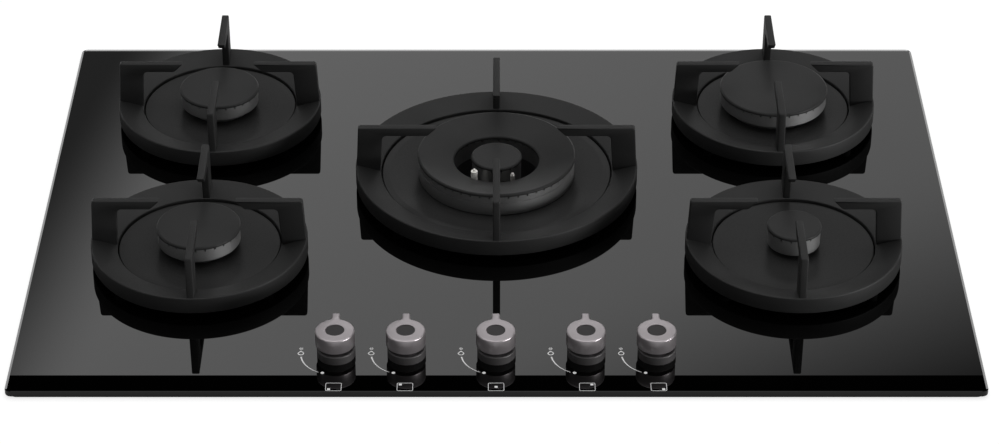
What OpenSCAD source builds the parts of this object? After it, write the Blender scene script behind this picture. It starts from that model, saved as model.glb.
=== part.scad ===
// Built-in gas cooktop with five burners on one sheet of glass.
// +Z is up, -Y is the front with the knobs, and the origin is the middle of the tray's underside.
// Burners and knobs are numbered from the left: 0 front left, 1 rear left, 2 center, 3 rear right,
// 4 front right. Heights above the glass are measured from its upper face.

/* [Glass top] */
// Width of the glass, left to right
glass_w = 750; // [744:2:770]
// Depth of the glass, front to back
glass_d = 520; // [514:2:530]
// Thickness of the glass
glass_t = 5; // [4:0.5:6]
// Radius of the glass corners, seen from above
glass_corner_r = 9; // [6:1:14]
// Rounding of the upper edge of the glass
glass_edge_r = 2.5; // [1:0.5:2.5]

/* [Base tray and seal] */
// Width of the sheet-metal tray under the glass
tray_w = 694; // [690:2:700]
// Depth of the tray, front to back
tray_d = 476; // [474:2:480]
// Height of the tray, up to the underside of the glass
tray_h = 48; // [47:1:56]
// Thickness of the tray's sheet
sheet_t = 1; // [0.8:0.1:1.2]
// Width of the rim that carries the glass
flange_w = 6; // [4:1:6]
// Width of the recess for the gas connection, at the rear right corner
recess_w = 52; // [48:1:56]
// Depth of that recess
recess_d = 36; // [32:1:38]
// Thickness of the seal under the glass rim
seal_t = 2; // [1.5:0.5:3]
// Width of the seal
seal_w = 8; // [6:1:8]
// Distance of the seal from the edge of the glass
seal_inset = 2; // [1:0.5:3]
// Distance from one clamp hole to the next, left to right
clamp_span_x = 560; // [540:5:570]
// Distance from one clamp hole to the next, front to back
clamp_span_y = 380; // [370:5:390]
// Radius of the clamp holes in the tray floor
clamp_hole_r = 2.1; // [1.8:0.1:2.6]

/* [Burner places] */
// Distance of the side burners from the middle, left to right
side_x = 240; // [236:1:250]
// Place of the front burners, from the middle of the glass
front_y = -78; // [-80:1:-74]
// Place of the rear burners
rear_y = 139; // [136:1:144]
// Place of the center burner
center_y = 34; // [30:1:38]

/* [Pan supports] */
// Outer radius of the four side rings
side_ring_r = 87.4; // [84:0.2:90]
// Outer radius of the center ring
center_ring_r = 118; // [114:0.5:120]
// Width of the sloping top of a ring
ring_band = 21.4; // [20:0.2:23]
// Height of the outer rim of a ring above the glass
ring_top = 20; // [19:0.5:22]
// How far the top of a ring falls towards its inside
ring_fall = 6; // [4:0.5:6]
// Thickness of the sloping part
ring_t = 4; // [3:0.5:4.5]
// Thickness of the outer wall of a ring
ring_wall = 9; // [8:0.5:10]
// Rounding between the outer wall and the top
ring_edge = 1.2; // [0.6:0.2:2]
// Thickness of a finger
finger_t = 6; // [5:0.5:7]
// Height of the top of the fingers above the glass
finger_top = 56; // [54:0.5:60]
// Height of the arm of a finger
finger_arm_h = 8; // [6:0.5:9]
// Width of the upright leg of a finger
finger_leg_w = 21; // [19:0.5:23]
// How far a leg leans inwards over its height
finger_lean = 2.4; // [1:0.2:4]
// Distance of the finger tips from the middle of a side burner
side_tip_r = 30; // [28:0.5:34]
// Distance of the finger tips from the middle of the center burner
center_tip_r = 49.5; // [47:0.5:54]
// Height of the rubber feet, the gap between ring and glass
foot_h = 5.5; // [4.5:0.5:6]
// Radius of a rubber foot
foot_r = 4; // [3:0.25:4.5]
// Radius of the plug of a foot inside the ring
foot_stem_r = 2.2; // [1.8:0.1:2.6]
// Length of that plug
foot_stem_h = 5; // [4:0.5:7]

/* [Burner plates] */
// Gap between a plate and the ring round it
plate_gap = 0.6; // [0.4:0.1:1]
// Height of a plate's outer edge above the glass
plate_top = 12; // [11:0.5:13]
// Thickness of a plate
plate_t = 2; // [1.5:0.25:2.5]
// Thickness of the wall that a plate stands on
plate_wall = 2; // [1.5:0.25:3]
// How far the side plates fall towards their burner
side_dish = 0.6; // [0:0.2:1.5]
// How far the center plate falls towards its burner
center_dish = 3; // [2:0.25:3.5]
// Gap between a plate and the neck of its burner
plate_hole_gap = 0.5; // [0.4:0.1:1]

/* [Burner caps] */
// Radius of the two medium caps, on the left
medium_cap_r = 34; // [32:0.25:36]
// Radius of the large cap, rear right
large_cap_r = 46.5; // [44:0.25:48]
// Radius of the small cap, front right
small_cap_r = 22; // [21:0.25:24]
// Outer radius of the ring cap on the center burner
ring_cap_r = 66; // [64:0.25:68]
// Radius of the hole in the ring cap
ring_cap_hole_r = 35.5; // [35.5:0.25:37]
// Radius of the cap in the middle of the center burner
inner_cap_r = 21.3; // [20:0.1:22]
// Height of the top of a cap above the glass
cap_top = 32; // [31:0.5:33]
// Height of the top of the ring cap
ring_cap_top = 30.5; // [29.5:0.5:31]
// Height of the top of the inner cap
inner_cap_top = 27.5; // [26.5:0.5:28]
// How far the ring cap falls towards its hole
ring_cap_fall = 6.5; // [5.5:0.25:7]
// Thickness of the caps
cap_t = 2.5; // [2.25:0.25:3]
// Rounding of the upper edge of the caps
cap_edge = 1.6; // [1:0.2:1.8]
// How far a cap reaches past its flame spreader
cap_over = 0.8; // [0.4:0.1:1.2]
// Depth of the ring under a cap that centres it
cap_spigot = 1.2; // [1:0.1:1.4]
// Gap between parts that lift off one another
rest_gap = 0.2; // [0.1:0.05:0.3]

/* [Flame spreaders] */
// Height of the crown with the flame ports, on the medium burners
medium_crown_h = 11; // [10.5:0.25:11.5]
// Height of the large burner's crown
large_crown_h = 10.5; // [10.5:0.25:11.5]
// Height of the small burner's crown
small_crown_h = 13.5; // [12:0.25:14]
// Height of the crown of the center burner's ring
ring_crown_h = 17.25; // [16:0.25:17.5]
// Height above the glass of the groove round that crown
ring_groove_z = 21.6; // [20:0.2:23]
// Height of the crown in the middle of the center burner
inner_crown_h = 12; // [11:0.25:12.5]
// Thickness of the crown's wall
crown_wall = 4; // [3:0.25:5]
// Width of a flame port
port_w = 1.3; // [1.1:0.1:2]
// Depth of a flame port
port_h = 1.8; // [1.6:0.1:3]
// Space between two ports, measured round the crown
port_pitch = 8; // [7.6:0.2:11]
// Inner radius of the mixing tube
mixing_r = 5; // [4:0.25:5.5]
// Thickness of the mixing tube's wall
mixing_wall = 1.6; // [1.2:0.1:2]

/* [Burner cups and injectors] */
// Room between the outside of a cup and the outside of its crown
cup_inset = 8.4; // [8.2:0.1:9]
// Thickness of a cup's wall
cup_wall = 2.5; // [2:0.25:3]
// Height of a cup's rim above the glass
cup_top = 6; // [5:0.25:7]
// Height of the floor of the cup above the tray's underside
cup_floor = 20; // [18:0.5:21]
// Radius of the stem under a cup
stem_r = 13; // [12:0.5:14]
// Radius of the foot of the stem
stem_foot_r = 23; // [22:0.5:24]
// Thickness of that foot
stem_foot_t = 3; // [2.5:0.25:4]
// Distance of the cup screws from the middle of the stem
screw_r = 18; // [17.5:0.25:18.5]
// Outer radius of the screw thread
screw_shank_r = 2; // [1.5:0.25:2]
// Radius of the screw heads
screw_head_r = 3.6; // [3:0.2:3.8]
// Height of the screw heads
screw_head_h = 2.4; // [2:0.2:3]
// Radius of an injector's thread
injector_r = 4; // [3.5:0.25:4.5]
// Width across the flats of an injector's hexagon
injector_flats = 10; // [9:0.5:11]
// Radius of the gas bores in the stem
gas_bore_r = 2; // [1.5:0.25:2.5]
// Length of an injector's thread
injector_depth = 5; // [4:0.25:5.5]
// Height of an injector's hexagon
injector_head_h = 4; // [3:0.25:5]

/* [Electrodes and thermocouples] */
// Radius of the ceramic of an electrode
ceramic_r = 2.75; // [2.5:0.05:2.8]
// Radius of a thermocouple
probe_r = 2; // [1.6:0.1:2.4]
// Height of the ceramic above the glass
ceramic_top = 21.5; // [20:0.5:22]
// Height of the thermocouples above the glass
probe_top = 22.5; // [21:0.5:23]
// Height of the ceramic and the thermocouple in the center burner
center_probe_top = 28; // [26:0.5:29]
// Length of the metal tip of an electrode
spark_tip = 2; // [1:0.25:2.5]
// Distance of the center electrode from the middle of its burner
center_probe_r = 31.4; // [31.2:0.1:31.6]

/* [Knobs and taps] */
// Distance of the row of knobs from the front wall of the tray
knob_row_gap = 26.3; // [25:0.1:28]
// Place of the inner pair of side knobs, left to right
inner_knob_x = 69.5; // [67:0.5:72]
// Place of the outer pair of side knobs
outer_knob_x = 124; // [121:0.5:127]
// Radius of a knob
knob_r = 15.2; // [14.5:0.1:16]
// Height of a knob's top above the glass
knob_top = 22.7; // [21.5:0.1:24]
// Height of a knob's lower edge above the glass
knob_bottom = 10.2; // [10.2:0.1:11]
// Rounding of a knob's upper edge
knob_edge = 1.4; // [0.8:0.2:2]
// Width of the pointer tab
tab_w = 6.2; // [5:0.2:7]
// Distance of the tab's tip from the middle of the knob
tab_reach = 23; // [21:0.5:24]
// Height of the tab
tab_h = 9.5; // [7:0.5:11]
// Radius of the disc let into the knob
insert_r = 7.4; // [6.5:0.1:9]
// Thickness of that disc
insert_t = 1.2; // [0.8:0.1:1.6]
// How far the disc lies below the top of the knob
insert_sunk = 0.5; // [0:0.1:0.8]
// How far a knob is pushed in to light the burner
push_travel = 3; // [2:0.25:3]
// Outer radius of the collar under a knob
collar_r = 14.9; // [13.5:0.1:15]
// Height of the collar
collar_h = 7; // [6:0.1:7]
// Radius of the hub under a knob
hub_r = 8; // [7:0.25:8.5]
// Radius of the spindle
spindle_r = 4; // [3.5:0.1:4.2]
// Depth of the flat on the spindle
spindle_flat = 1.2; // [0.8:0.1:1.5]
// Radius of the turning plug of a tap
plug_r = 7; // [6.5:0.1:7.5]
// Outer radius of a tap's body
tap_r = 12; // [11:0.25:12.5]
// Clearance between parts that turn or slide in one another
running = 0.05; // [0.02:0.01:0.08]
// Thickness of a tap's cover
cover_t = 2; // [1.5:0.25:2.5]
// Gap between the taps and the glass
tap_gap = 4; // [3:0.25:5]
// Radius of the gas nozzles on the taps
nozzle_r = 4.5; // [4:0.25:5]
// Distance of the two nozzles of the center tap from its middle
nozzle_x = 7; // [6.5:0.25:7.5]

/* [Gas line] */
// Outer radius of the manifold tube
rail_r = 6; // [5.5:0.25:6.5]
// Thickness of its wall
rail_wall = 1; // [0.8:0.1:1.5]
// Height of the manifold tube's middle above the tray's underside
rail_z = 14; // [13.5:0.25:15]
// How far the manifold reaches past the first tap
rail_end = 20; // [16:1:30]
// Radius of the bend in the manifold
rail_bend = 24; // [18:1:30]
// Outer radius of the inlet thread
inlet_r = 10.48; // [9:0.02:10.5]
// Length of the inlet thread
inlet_len = 17; // [14:0.5:18]
// Width across the flats of the inlet's hexagon
inlet_flats = 24; // [22:0.5:25]
// Radius of the bore of the inlet
inlet_bore_r = 5; // [4:0.25:6]
// Outer radius of the feed pipes
pipe_r = 3; // [2.5:0.25:3.5]
// Height of the lower stretch of the feed pipes
pipe_z = 12.5; // [11.5:0.25:12.75]
// Thickness of the wall of the feed pipes
pipe_wall = 0.8; // [0.6:0.1:1]
// Radius of the bends in the feed pipes
pipe_bend = 7.5; // [7:0.25:8]

/* [Electrical parts] */
// Width of the spark generator
spark_box_w = 72; // [60:1:80]
// Depth of the spark generator
spark_box_d = 38; // [30:1:42]
// Height of the spark generator
spark_box_h = 26; // [20:1:30]
// Width of the terminal box
terminal_w = 60; // [50:1:70]
// Depth of the terminal box
terminal_d = 32; // [26:1:36]
// Height of the terminal box
terminal_h = 30; // [26:1:34]
// Radius of the cable's way into the terminal box
cable_r = 4; // [3.5:0.25:4.5]
// Length of the cable spout outside the tray
spout_len = 10; // [8:0.5:12]
// Thickness of the spout's wall
spout_wall = 3; // [2:0.25:4]

/* [Hidden] */
$fn = 96;

// Places
glass_z = tray_h;
top_z = tray_h + glass_t;
burner_at = [[-side_x, front_y], [-side_x, rear_y], [0, center_y], [side_x, rear_y], [side_x, front_y]];
knob_x = [-outer_knob_x, -inner_knob_x, 0, inner_knob_x, outer_knob_x];
knob_y = knob_row_gap - tray_d / 2;
CENTER = 2;
all_burners = [0, 1, 2, 3, 4];
finger_angles = [0, 90, 180, 270];
foot_angles = [45, 135, 225, 315];

// Rings and plates, by burner
ring_r = [side_ring_r, side_ring_r, center_ring_r, side_ring_r, side_ring_r];
tip_r = [side_tip_r, side_tip_r, center_tip_r, side_tip_r, side_tip_r];
dish = [side_dish, side_dish, center_dish, side_dish, side_dish];

// Burners, from the cap down: crown, cup, electrode and the hole in the glass
cap_r = [medium_cap_r, medium_cap_r, ring_cap_r, large_cap_r, small_cap_r];
crown_r = [for (r = cap_r) r - cap_over];
cup_outer_r = [for (r = crown_r) r - cup_inset];
hole_fit = 0.15;
probe_side_gap = 1.2;
notch_gap = 0.9;
side_probe_r = [for (r = cup_outer_r) r + probe_side_gap + ceramic_r];
hole_margin = 1.2;
center_hole_margin = 1.8;
glass_hole_r = [for (i = all_burners) i == CENTER ? cup_outer_r[i] + center_hole_margin
    : side_probe_r[i] + ceramic_r + hole_margin];
cup_flange_w = 5;
cup_flange_t = 3.5;

// Crowns and caps of the center burner
inner_crown_r = inner_cap_r - cap_over;
inner_cup_r = inner_crown_r;
ring_crown_in_r = ring_cap_hole_r + cap_over;
crown_floor = 3;
spigot_gap = 0.4;
spigot_w = 2;
spigot_depth = 3;
mixing_depth = 6;
ring_injector_at = [nozzle_x, (ring_crown_in_r + cup_outer_r[CENTER]) / 2];
probe_bottom = cup_floor - cup_wall;
center_ceramic_angle = 234;
center_probe_angle = 295;
side_ceramic_angle = 72;
side_probe_angle = 108;

// Knob stack
spindle_hole_r = spindle_r + running;
collar_hole_r = hub_r + 1;
glass_spindle_hole_r = spindle_r + 2;
spindle_top = knob_top - insert_sunk - insert_t - 1.5;
hub_bottom = knob_bottom - 5;
tab_drop = 0.3;
tab_corner = 1;
tap_top = tray_h - tap_gap - cover_t;
tap_foot = rail_z + rail_r + 2;
plug_bottom = tap_foot + 4;
plug_play = 0.3;
nozzle_z = plug_bottom + 3;
plug_bore_top = nozzle_z + gas_bore_r + 0.5;
plug_socket_bottom = plug_bore_top + 2;
spindle_bottom = plug_socket_bottom + push_travel + 0.5;
cover_w = 26;
cover_d = 22;
switch_w = 8;
switch_d = 14;
switch_h = 13;
nozzle_reach = 20;
nozzle_bore_share = 0.7;

// Gas line
rail_x0 = knob_x[0] - rail_end;
rail_x1 = tray_w / 2 - recess_w / 2;
recess_x0 = tray_w / 2 - recess_w;
recess_y0 = tray_d / 2 - recess_d;
inlet_nut_len = 10;
inlet_neck_step = 1;
inlet_neck_out = 0.5;
cup_nozzle_len = 8;
rail_foot_w = 12;
rail_foot_out = 60;
rail_foot_x = [-inner_knob_x / 2, inner_knob_x / 2, outer_knob_x + rail_foot_out];
rail_plug = 3;
drop_run = 6;
turn_run = 36;
join_run = 20;
lane_gap = 17;

// Electrical parts
spark_box_at = [-96, tray_d / 2 - 30];
spark_outlet_r = 3.2;
spark_outlet_len = 9;
terminal_inset = 60;
terminal_at = [terminal_inset - tray_w / 2, tray_d / 2 - sheet_t - terminal_d / 2];
spout_z = 16;
cable_room = 12;

// Rectangle with round corners, seen from above
module round_rect(w, d, r) {
    square([w - 2 * r, d], center = true);
    square([w, d - 2 * r], center = true);
    for (x = [-1, 1], y = [-1, 1])
        translate([x * (w / 2 - r), y * (d / 2 - r)]) circle(r);
}

// Half section of a sheet whose upper edge is round
module rounded_edge_half(half, t, e) {
    square([half - e, t]);
    square([half, t - e]);
    intersection() {
        translate([half - e, t - e]) circle(e);
        square([half + 1, t + 1]);
    }
}

// Sheet with round corners and a round upper edge
module rounded_sheet(w, d, t, r, e) {
    for (m = [0, 1]) mirror([m, 0, 0])
        rotate([90, 0, 0]) linear_extrude(height = d - 2 * r, center = true)
            rounded_edge_half(w / 2, t, e);
    for (m = [0, 1]) mirror([0, m, 0])
        rotate([90, 0, 90]) linear_extrude(height = w - 2 * r, center = true)
            rounded_edge_half(d / 2, t, e);
    for (x = [-1, 1], y = [-1, 1])
        translate([x * (w / 2 - r), y * (d / 2 - r), 0])
            rotate_extrude() rounded_edge_half(r, t, e);
}

// Disc or ring whose upper outer edge is round
module rounded_disc(r_in, r_out, h, e) {
    rotate_extrude() {
        translate([r_in, 0]) square([r_out - e - r_in, h]);
        translate([r_in, 0]) square([r_out - r_in, h - e]);
        translate([r_out - e, h - e]) intersection() {
            circle(e);
            square(e + 1);
        }
    }
}

// Length and direction of the stretch that follows point k of a route
function run(route, k) = route[k + 1] - route[k];
function unit(v) = v / norm(v);

// Round bar along a route of square corners, bent at each of them
module bent_bar(route, r, bend) {
    last = len(route) - 2;
    for (k = [0 : last]) {
        d = unit(run(route, k));
        a = route[k] + (k == 0 ? 0 : bend) * d;
        b = route[k + 1] - (k == last ? 0 : bend) * d;
        translate(a)
            rotate([0, acos(d[2]), atan2(d[1], d[0])])
                cylinder(h = norm(b - a), r = r);
    }
    for (k = [1 : last]) {
        into = unit(run(route, k - 1));
        out = unit(run(route, k));
        up = cross(-out, into);
        start = route[k] - bend * into + bend * out;
        multmatrix([
            [-out[0], into[0], up[0], start[0]],
            [-out[1], into[1], up[1], start[1]],
            [-out[2], into[2], up[2], start[2]],
            [0, 0, 0, 1],
        ])
        rotate_extrude(angle = 90) translate([bend, 0]) circle(r);
    }
}

// Round bar with a flat on its +X side
module flatted_bar(r, flat, h) {
    difference() {
        cylinder(h = h, r = r);
        translate([r - flat, -r - 1, -1]) cube([flat + 1, 2 * r + 2, h + 2]);
    }
}

// Fixed parts

module glass_top() {
    color([0.03, 0.03, 0.035])
    translate([0, 0, glass_z])
    difference() {
        rounded_sheet(glass_w, glass_d, glass_t, glass_corner_r, glass_edge_r);
        for (i = all_burners)
            translate([burner_at[i][0], burner_at[i][1], -1])
                cylinder(h = glass_t + 2, r = glass_hole_r[i]);
        for (x = knob_x)
            translate([x, knob_y, -1]) cylinder(h = glass_t + 2, r = glass_spindle_hole_r);
    }
}

// Outline of the tray with the recess at its rear right corner
module tray_outline(inset) {
    difference() {
        square([tray_w - 2 * inset, tray_d - 2 * inset], center = true);
        translate([recess_x0 - inset, recess_y0 - inset])
            square([recess_w + 2 * inset, recess_d + 2 * inset]);
    }
}

module base_tray() {
    color([0.12, 0.12, 0.13])
    difference() {
        union() {
            linear_extrude(height = tray_h) tray_outline(0);
            translate([0, 0, tray_h - sheet_t]) linear_extrude(height = sheet_t)
                square([tray_w + 2 * flange_w, tray_d + 2 * flange_w], center = true);
        }
        translate([0, 0, sheet_t]) linear_extrude(height = tray_h) tray_outline(sheet_t);
        for (i = all_burners, s = [-1, 1])
            translate([burner_at[i][0] + s * screw_r, burner_at[i][1], -1])
                cylinder(h = sheet_t + 2, r = screw_shank_r + running);
        for (x = [-1, 1], y = [-1, 1])
            translate([x * clamp_span_x / 2, y * clamp_span_y / 2, -1])
                cylinder(h = sheet_t + 2, r = clamp_hole_r);
        translate([rail_x1, recess_y0 + 1, rail_z]) rotate([90, 0, 0])
            cylinder(h = sheet_t + 2, r = inlet_r + inlet_neck_step + hole_fit);
        translate([terminal_at[0], tray_d / 2 + 1, spout_z]) rotate([90, 0, 0])
            cylinder(h = sheet_t + 2, r = cable_r + spout_wall + hole_fit);
    }
}

module worktop_seal() {
    color([0.06, 0.06, 0.06])
    translate([0, 0, glass_z - seal_t])
    linear_extrude(height = seal_t)
    difference() {
        outer = [glass_w - 2 * seal_inset, glass_d - 2 * seal_inset];
        round_rect(outer[0], outer[1], glass_corner_r - seal_inset);
        square([outer[0] - 2 * seal_w, outer[1] - 2 * seal_w], center = true);
    }
}

module burner_plates() {
    shoulder = 6;
    arris = 0.8;
    notch_r = ceramic_r + notch_gap;
    color([0.13, 0.13, 0.14])
    for (i = all_burners) {
        r_out = ring_r[i] - ring_band - plate_gap;
        r_in = cup_outer_r[i] + plate_hole_gap;
        low = plate_top - dish[i];
        translate([burner_at[i][0], burner_at[i][1], top_z])
        difference() {
            rotate_extrude()
            polygon([
                [r_in, low - plate_t], [r_out - shoulder, plate_top - plate_t],
                [r_out - plate_wall, plate_top - plate_t], [r_out - plate_wall, 0], [r_out, 0],
                [r_out, plate_top - arris], [r_out - arris, plate_top], [r_out - shoulder, plate_top],
                [r_in, low],
            ]);
            if (i != CENTER)
                for (a = probe_angles(i)) rotate([0, 0, a]) {
                    translate([probe_place(i), 0, 0]) cylinder(h = plate_top + 1, r = notch_r);
                    translate([0, -notch_r, 0]) cube([probe_place(i), 2 * notch_r, plate_top + 1]);
                }
        }
    }
}

// Stem, floor and wall of a cup, as one turned section
module cup_section(i) {
    wall_r = cup_outer_r[i];
    wall_h = top_z + cup_top - cup_floor + cup_wall;
    walls_at = i == CENTER
        ? [wall_r - cup_wall, inner_cup_r - cup_wall, ring_crown_in_r] : [wall_r - cup_wall];
    translate([0, sheet_t]) square([stem_foot_r, stem_foot_t]);
    translate([0, sheet_t]) square([stem_r, cup_floor - sheet_t]);
    translate([0, cup_floor - cup_wall]) square([max(wall_r, stem_r), cup_wall]);
    for (r = walls_at)
        translate([r, cup_floor - cup_wall]) square([cup_wall, wall_h]);
    translate([wall_r - cup_wall, glass_z - cup_flange_t])
        square([glass_hole_r[i] + cup_flange_w - wall_r + cup_wall, cup_flange_t]);
}

module burner_cups() {
    color([0.62, 0.62, 0.6])
    for (i = all_burners)
        translate([burner_at[i][0], burner_at[i][1], 0])
        difference() {
            union() {
                rotate_extrude() cup_section(i);
                cup_nozzles(i);
            }
            for (s = [-1, 1])
                translate([s * screw_r, 0, 0])
                    cylinder(h = 2 * (sheet_t + stem_foot_t), r = screw_shank_r + running);
            for (a = probe_angles(i))
                rotate([0, 0, a]) translate([probe_place(i), 0, probe_bottom - 1])
                    cylinder(h = tray_h, r = ceramic_r + running);
            for (at = injector_at(i))
                translate([at[0], at[1], cup_floor - injector_depth])
                    cylinder(h = injector_depth + 1, r = injector_r);
            cup_gas_bores(i);
        }
}

function probe_angles(i) = i == CENTER ? [center_ceramic_angle, center_probe_angle]
    : [side_ceramic_angle, side_probe_angle];
function probe_place(i) = i == CENTER ? center_probe_r : side_probe_r[i];

// Places of the gas nozzles of a cup and of its injectors: two of each on the center burner
function cup_nozzle_x(i) = i == CENTER ? [-nozzle_x, nozzle_x] : [0];
function injector_at(i) = i == CENTER ? [[0, 0], ring_injector_at] : [[0, 0]];

// Nozzles in front of the stem, and the duct to the injector of the center burner's ring
module cup_nozzles(i) {
    for (x = cup_nozzle_x(i))
        translate([x, 0, pipe_z]) rotate([90, 0, 0])
            cylinder(h = stem_r + cup_nozzle_len, r = nozzle_r);
    if (i == CENTER) {
        translate([nozzle_x, 0, pipe_z]) rotate([-90, 0, 0])
            cylinder(h = ring_injector_at[1], r = nozzle_r);
        translate([ring_injector_at[0], ring_injector_at[1], pipe_z - nozzle_r - 1])
            cylinder(h = cup_floor - pipe_z + nozzle_r, r = injector_r + 2);
    }
}

// Way of the gas from the nozzles to the injectors
module cup_gas_bores(i) {
    for (x = cup_nozzle_x(i))
        translate([x, 0, pipe_z]) rotate([90, 0, 0])
            cylinder(h = stem_r + cup_nozzle_len + 1, r = gas_bore_r);
    if (i == CENTER) {
        translate([-nozzle_x, 0, pipe_z]) rotate([0, 90, 0]) cylinder(h = nozzle_x, r = gas_bore_r);
        translate([nozzle_x, 0, pipe_z]) rotate([-90, 0, 0])
            cylinder(h = ring_injector_at[1], r = gas_bore_r);
    }
    for (at = injector_at(i))
        translate([at[0], at[1], pipe_z]) cylinder(h = cup_floor - pipe_z, r = gas_bore_r);
}

module injectors() {
    color([0.75, 0.6, 0.3])
    for (i = all_burners, at = injector_at(i))
        translate([burner_at[i][0] + at[0], burner_at[i][1] + at[1], cup_floor]) injector();
}

// Threaded shank, hexagon and nose with the jet hole
module injector() {
    nose_h = 3;
    nose_r = 2;
    jet_r = 0.5;
    difference() {
        union() {
            translate([0, 0, -injector_depth]) cylinder(h = injector_depth, r = injector_r - running);
            cylinder(h = injector_head_h, r = injector_flats / 2 / cos(30), $fn = 6);
            translate([0, 0, injector_head_h])
                cylinder(h = nose_h, r1 = injector_flats / 2 - 1, r2 = nose_r);
        }
        translate([0, 0, -injector_depth - 1])
            cylinder(h = injector_depth + injector_head_h, r = gas_bore_r - jet_r);
        cylinder(h = injector_head_h + nose_h + 1, r = jet_r);
    }
}

module spark_electrodes() {
    for (i = all_burners)
        translate([burner_at[i][0], burner_at[i][1], 0])
        rotate([0, 0, probe_angles(i)[0]])
        translate([probe_place(i), 0, 0]) {
            top = top_z + (i == CENTER ? center_probe_top : ceramic_top);
            color([0.9, 0.89, 0.85]) translate([0, 0, probe_bottom])
                cylinder(h = top - probe_bottom, r = ceramic_r);
            color([0.6, 0.6, 0.6]) translate([0, 0, top]) cylinder(h = spark_tip, r = ceramic_r / 3);
        }
}

module thermocouples() {
    nose = 2;
    color([0.7, 0.6, 0.45])
    for (i = all_burners)
        translate([burner_at[i][0], burner_at[i][1], 0])
        rotate([0, 0, probe_angles(i)[1]])
        translate([probe_place(i), 0, probe_bottom]) {
            rod_h = top_z + (i == CENTER ? center_probe_top : probe_top) - nose - probe_bottom;
            cylinder(h = rod_h, r = probe_r);
            cylinder(h = glass_z - probe_bottom, r = ceramic_r);
            translate([0, 0, rod_h]) cylinder(h = nose, r1 = probe_r, r2 = probe_r / 2);
        }
}

module knob_collars() {
    color([0.15, 0.14, 0.14])
    for (x = knob_x)
        translate([x, knob_y, top_z]) rounded_disc(collar_hole_r, collar_r, collar_h, 1);
}

module tap_bodies() {
    color([0.72, 0.62, 0.38])
    for (i = all_burners)
        translate([knob_x[i], knob_y, 0]) {
            difference() {
                union() {
                    translate([0, 0, tap_foot]) cylinder(h = tap_top - tap_foot, r = tap_r);
                    translate([0, 0, rail_z]) cylinder(h = tap_foot - rail_z, r = tap_r - 2);
                    for (x = cup_nozzle_x(i))
                        translate([x, 0, nozzle_z]) rotate([-90, 0, 0])
                            cylinder(h = nozzle_reach, r = nozzle_r);
                }
                translate([0, 0, plug_bottom]) cylinder(h = tray_h, r = plug_r);
                translate([-tap_r - 1, 0, rail_z]) rotate([0, 90, 0])
                    cylinder(h = 2 * tap_r + 2, r = rail_r + running);
                translate([0, 0, rail_z]) cylinder(h = plug_bottom - rail_z + 1, r = gas_bore_r);
                for (x = cup_nozzle_x(i))
                    translate([x * nozzle_bore_share, plug_r / 2, nozzle_z]) rotate([-90, 0, 0])
                        cylinder(h = nozzle_reach, r = gas_bore_r);
            }
        }
}

module tap_covers() {
    color([0.66, 0.66, 0.66])
    for (x = knob_x)
        translate([x, knob_y, tap_top])
        difference() {
            translate([-cover_w / 2 - switch_w, -cover_d / 2, 0])
                cube([cover_w + switch_w, cover_d, cover_t]);
            translate([0, 0, -1]) cylinder(h = cover_t + 2, r = spindle_r + plug_play);
        }
}

module ignition_switches() {
    color([0.2, 0.2, 0.22])
    for (x = knob_x)
        translate([x - cover_w / 2 - switch_w, knob_y - switch_d / 2, tap_top - switch_h])
            cube([switch_w, switch_d, switch_h]);
}

// Route of the manifold: along the taps, round the front right corner, back to the inlet
module manifold_run(r, from_x, to_y) {
    translate([from_x, knob_y, rail_z]) rotate([0, 90, 0])
        cylinder(h = rail_x1 - rail_bend - from_x, r = r);
    translate([rail_x1 - rail_bend, knob_y + rail_bend, rail_z]) rotate([0, 0, -90])
        rotate_extrude(angle = 90) translate([rail_bend, 0]) circle(r);
    translate([rail_x1, knob_y + rail_bend, rail_z]) rotate([-90, 0, 0])
        cylinder(h = to_y - knob_y - rail_bend, r = r);
}

module gas_manifold() {
    back = recess_y0 - sheet_t - inlet_nut_len;
    color([0.7, 0.7, 0.72])
    difference() {
        union() {
            manifold_run(rail_r, rail_x0, back);
            for (x = rail_foot_x)
                translate([x - rail_foot_w / 2, knob_y - rail_r, sheet_t])
                    cube([rail_foot_w, 2 * rail_r, rail_z - sheet_t]);
            translate([rail_x1 - rail_r, 0, sheet_t])
                cube([2 * rail_r, rail_foot_w, rail_z - sheet_t]);
        }
        manifold_run(rail_r - rail_wall, rail_x0 + rail_plug, back + 1);
        for (x = knob_x) translate([x, knob_y, rail_z]) cylinder(h = rail_r + 1, r = gas_bore_r);
    }
}

module gas_inlet_connector() {
    color([0.75, 0.6, 0.3])
    translate([rail_x1, recess_y0 - sheet_t - inlet_nut_len, rail_z]) rotate([-90, 0, 0])
    difference() {
        union() {
            cylinder(h = inlet_nut_len - rest_gap, r = inlet_flats / 2 / cos(30), $fn = 6);
            cylinder(h = inlet_nut_len + sheet_t + inlet_neck_out, r = inlet_r + inlet_neck_step);
            cylinder(h = inlet_nut_len + sheet_t + inlet_len, r = inlet_r);
        }
        translate([0, 0, -1]) cylinder(h = inlet_nut_len + sheet_t + inlet_len + 2, r = inlet_bore_r);
    }
}

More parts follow.
